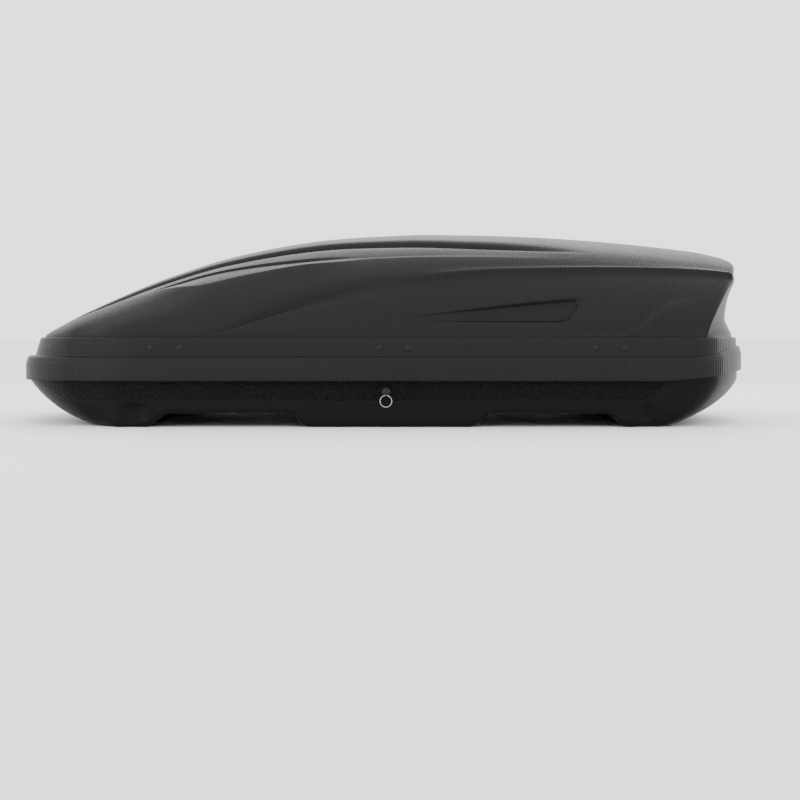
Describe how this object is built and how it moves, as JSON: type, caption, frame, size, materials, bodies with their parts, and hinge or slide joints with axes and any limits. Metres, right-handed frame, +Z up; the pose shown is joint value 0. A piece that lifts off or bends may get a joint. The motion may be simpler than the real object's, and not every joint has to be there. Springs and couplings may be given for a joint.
{
  "type": "roof cargo box",
  "caption": "Hard-shell roof cargo box: low dark tray with feet and bar arches, domed lid hinged along one side, key lock and U-bolt bar clamps.",
  "frame": {"origin": "on the underside of the centre foot, midway along and across the box, so the box stands on z = 0", "axes": "+Z up, -X towards the nose and +X towards the tail, -Y the lock side and +Y the hinge side"},
  "size_m": [1.7498, 0.844, 0.4539],
  "materials": {
    "lid_plastic": "satin, fine ribbed grain",
    "tray_plastic": "matte, pebble grain",
    "rivet_black": "satin black",
    "pin_steel": "ground",
    "leaf_black": "black powder coat",
    "knob_plastic": "glass-filled nylon",
    "black_moulding": "moulded",
    "bar_aluminium": "mill finish",
    "lock_nickel": "satin nickel",
    "key_nickel": "nickel plated",
    "ring_steel": "polished",
    "strut_black": "black enamel",
    "strut_chrome": "polished",
    "zinc_steel": "zinc plated"
  },
  "bodies": {
    "tray": {"base_tray": "tray_plastic", "lock_housing": "black_moulding", "lock_bezel": "lock_nickel", "hinge_tray_rivets": "rivet_black", "hinge_tray_leaf_front": "leaf_black", "hinge_tray_leaf_middle": "leaf_black", "hinge_tray_leaf_rear": "leaf_black", "hinge_pin_front": "pin_steel", "hinge_pin_middle": "pin_steel", "hinge_pin_rear": "pin_steel", "bar_guide_1": "black_moulding", "bar_guide_2": "black_moulding", "bar_guide_3": "black_moulding", "bar_guide_4": "black_moulding", "clamp_plate_front_left": "zinc_steel", "clamp_plate_front_right": "zinc_steel", "clamp_plate_rear_left": "zinc_steel", "clamp_plate_rear_right": "zinc_steel", "strut_tray_bracket_front": "black_moulding", "strut_tray_bracket_rear": "black_moulding"},
    "lid": {"lid_shell": "lid_plastic", "lid_catch_rivets": "rivet_black", "hinge_lid_rivets": "rivet_black", "lid_catch_front": "zinc_steel", "lid_catch_middle": "zinc_steel", "lid_catch_rear": "zinc_steel", "hinge_lid_leaf_front": "leaf_black", "hinge_lid_leaf_middle": "leaf_black", "hinge_lid_leaf_rear": "leaf_black", "strut_lid_bracket_front": "black_moulding", "strut_lid_bracket_rear": "black_moulding"},
    "lock": {"lock_barrel": "lock_nickel", "lock_cam": "zinc_steel", "cam_screw": "zinc_steel", "key": "key_nickel"},
    "ring": {"key_ring": "ring_steel"},
    "bar": {"lock_bar": "bar_aluminium", "hook_rivets": "zinc_steel", "latch_hook_front": "zinc_steel", "latch_hook_middle": "zinc_steel", "latch_hook_rear": "zinc_steel"},
    "strut_tube_front": {"strut_tube_front": "strut_black"},
    "strut_rod_front": {"strut_rod_front": "strut_chrome"},
    "strut_tube_rear": {"strut_tube_rear": "strut_black"},
    "strut_rod_rear": {"strut_rod_rear": "strut_chrome"},
    "u_bolt_front_left": {"u_bolt_front_left": "zinc_steel"},
    "knob_front_left_a": {"knob_front_left_a": "knob_plastic"},
    "knob_front_left_b": {"knob_front_left_b": "knob_plastic"},
    "u_bolt_front_right": {"u_bolt_front_right": "zinc_steel"},
    "knob_front_right_a": {"knob_front_right_a": "knob_plastic"},
    "knob_front_right_b": {"knob_front_right_b": "knob_plastic"},
    "u_bolt_rear_left": {"u_bolt_rear_left": "zinc_steel"},
    "knob_rear_left_a": {"knob_rear_left_a": "knob_plastic"},
    "knob_rear_left_b": {"knob_rear_left_b": "knob_plastic"},
    "u_bolt_rear_right": {"u_bolt_rear_right": "zinc_steel"},
    "knob_rear_right_a": {"knob_rear_right_a": "knob_plastic"},
    "knob_rear_right_b": {"knob_rear_right_b": "knob_plastic"}
  },
  "joints": [
    {"name": "lid_hinge", "type": "hinge", "parent": "tray", "child": "lid", "pos_m": [0, 0.405, 0.096], "axis": [-1, 0, 0], "range_deg": [0, 50]},
    {"name": "key_turn", "type": "hinge", "parent": "tray", "child": "lock", "pos_m": [0.005, -0.41, 0.08], "axis": [0, 1, 0], "range_deg": [0, 90]},
    {"name": "lock_bar_slide", "type": "slide", "parent": "tray", "child": "bar", "axis": [1, 0, 0], "range_m": [0, 0.02262]},
    {"name": "ring_swing", "type": "hinge", "parent": "lock", "child": "ring", "pos_m": [0.005, -0.422, 0.0723], "axis": [1, 0, 0], "range_deg": [-110, 45]},
    {"name": "strut_front_swing", "type": "hinge", "parent": "tray", "child": "strut_tube_front", "pos_m": [-0.56, 0.3, 0.045], "axis": [-1, 0, 0], "range_deg": [0, 25.82]},
    {"name": "strut_front_extend", "type": "slide", "parent": "strut_tube_front", "child": "strut_rod_front", "axis": [0, 0.1746, 0.9846], "range_m": [0, 0.07078]},
    {"name": "strut_rear_swing", "type": "hinge", "parent": "tray", "child": "strut_tube_rear", "pos_m": [0.585, 0.3, 0.045], "axis": [-1, 0, 0], "range_deg": [0, 25.82]},
    {"name": "strut_rear_extend", "type": "slide", "parent": "strut_tube_rear", "child": "strut_rod_rear", "axis": [0, 0.1746, 0.9846], "range_m": [0, 0.07078]},
    {"name": "knob_front_left_a_turn", "type": "hinge", "parent": "tray", "child": "knob_front_left_a", "pos_m": [-0.4055, -0.24, 0.0463], "axis": [0, 0, 1], "range_deg": [0, 12960.01]},
    {"name": "knob_front_left_b_turn", "type": "hinge", "parent": "tray", "child": "knob_front_left_b", "pos_m": [-0.3215, -0.24, 0.0463], "axis": [0, 0, 1], "range_deg": [0, 12960.01]},
    {"name": "u_bolt_front_left_slide", "type": "slide", "parent": "tray", "child": "u_bolt_front_left", "axis": [0, 0, -1], "range_m": [0, 0.045]},
    {"name": "knob_front_right_a_turn", "type": "hinge", "parent": "tray", "child": "knob_front_right_a", "pos_m": [-0.4055, 0.24, 0.0463], "axis": [0, 0, 1], "range_deg": [0, 12960.01]},
    {"name": "knob_front_right_b_turn", "type": "hinge", "parent": "tray", "child": "knob_front_right_b", "pos_m": [-0.3215, 0.24, 0.0463], "axis": [0, 0, 1], "range_deg": [0, 12960.01]},
    {"name": "u_bolt_front_right_slide", "type": "slide", "parent": "tray", "child": "u_bolt_front_right", "axis": [0, 0, -1], "range_m": [0, 0.045]},
    {"name": "knob_rear_left_a_turn", "type": "hinge", "parent": "tray", "child": "knob_rear_left_a", "pos_m": [0.3345, -0.24, 0.0463], "axis": [0, 0, 1], "range_deg": [0, 12960.01]},
    {"name": "knob_rear_left_b_turn", "type": "hinge", "parent": "tray", "child": "knob_rear_left_b", "pos_m": [0.4185, -0.24, 0.0463], "axis": [0, 0, 1], "range_deg": [0, 12960.01]},
    {"name": "u_bolt_rear_left_slide", "type": "slide", "parent": "tray", "child": "u_bolt_rear_left", "axis": [0, 0, -1], "range_m": [0, 0.045]},
    {"name": "knob_rear_right_a_turn", "type": "hinge", "parent": "tray", "child": "knob_rear_right_a", "pos_m": [0.3345, 0.24, 0.0463], "axis": [0, 0, 1], "range_deg": [0, 12960.01]},
    {"name": "knob_rear_right_b_turn", "type": "hinge", "parent": "tray", "child": "knob_rear_right_b", "pos_m": [0.4185, 0.24, 0.0463], "axis": [0, 0, 1], "range_deg": [0, 12960.01]},
    {"name": "u_bolt_rear_right_slide", "type": "slide", "parent": "tray", "child": "u_bolt_rear_right", "axis": [0, 0, -1], "range_m": [0, 0.045]}
  ],
  "couplings": [
    {"joint": "key_turn", "follows": "lock_bar_slide", "rad_per_m": 69.444},
    {"joint": "strut_front_swing", "follows": "lid_hinge", "ratio": 0.51536},
    {"joint": "strut_front_extend", "follows": "lid_hinge", "m_per_rad": 0.081083},
    {"joint": "strut_rear_swing", "follows": "lid_hinge", "ratio": 0.51536},
    {"joint": "strut_rear_extend", "follows": "lid_hinge", "m_per_rad": 0.081083},
    {"joint": "knob_front_left_a_turn", "follows": "u_bolt_front_left_slide", "rad_per_m": 5026.5},
    {"joint": "knob_front_left_b_turn", "follows": "u_bolt_front_left_slide", "rad_per_m": 5026.5},
    {"joint": "knob_front_right_a_turn", "follows": "u_bolt_front_right_slide", "rad_per_m": 5026.5},
    {"joint": "knob_front_right_b_turn", "follows": "u_bolt_front_right_slide", "rad_per_m": 5026.5},
    {"joint": "knob_rear_left_a_turn", "follows": "u_bolt_rear_left_slide", "rad_per_m": 5026.5},
    {"joint": "knob_rear_left_b_turn", "follows": "u_bolt_rear_left_slide", "rad_per_m": 5026.5},
    {"joint": "knob_rear_right_a_turn", "follows": "u_bolt_rear_right_slide", "rad_per_m": 5026.5},
    {"joint": "knob_rear_right_b_turn", "follows": "u_bolt_rear_right_slide", "rad_per_m": 5026.5}
  ]
}
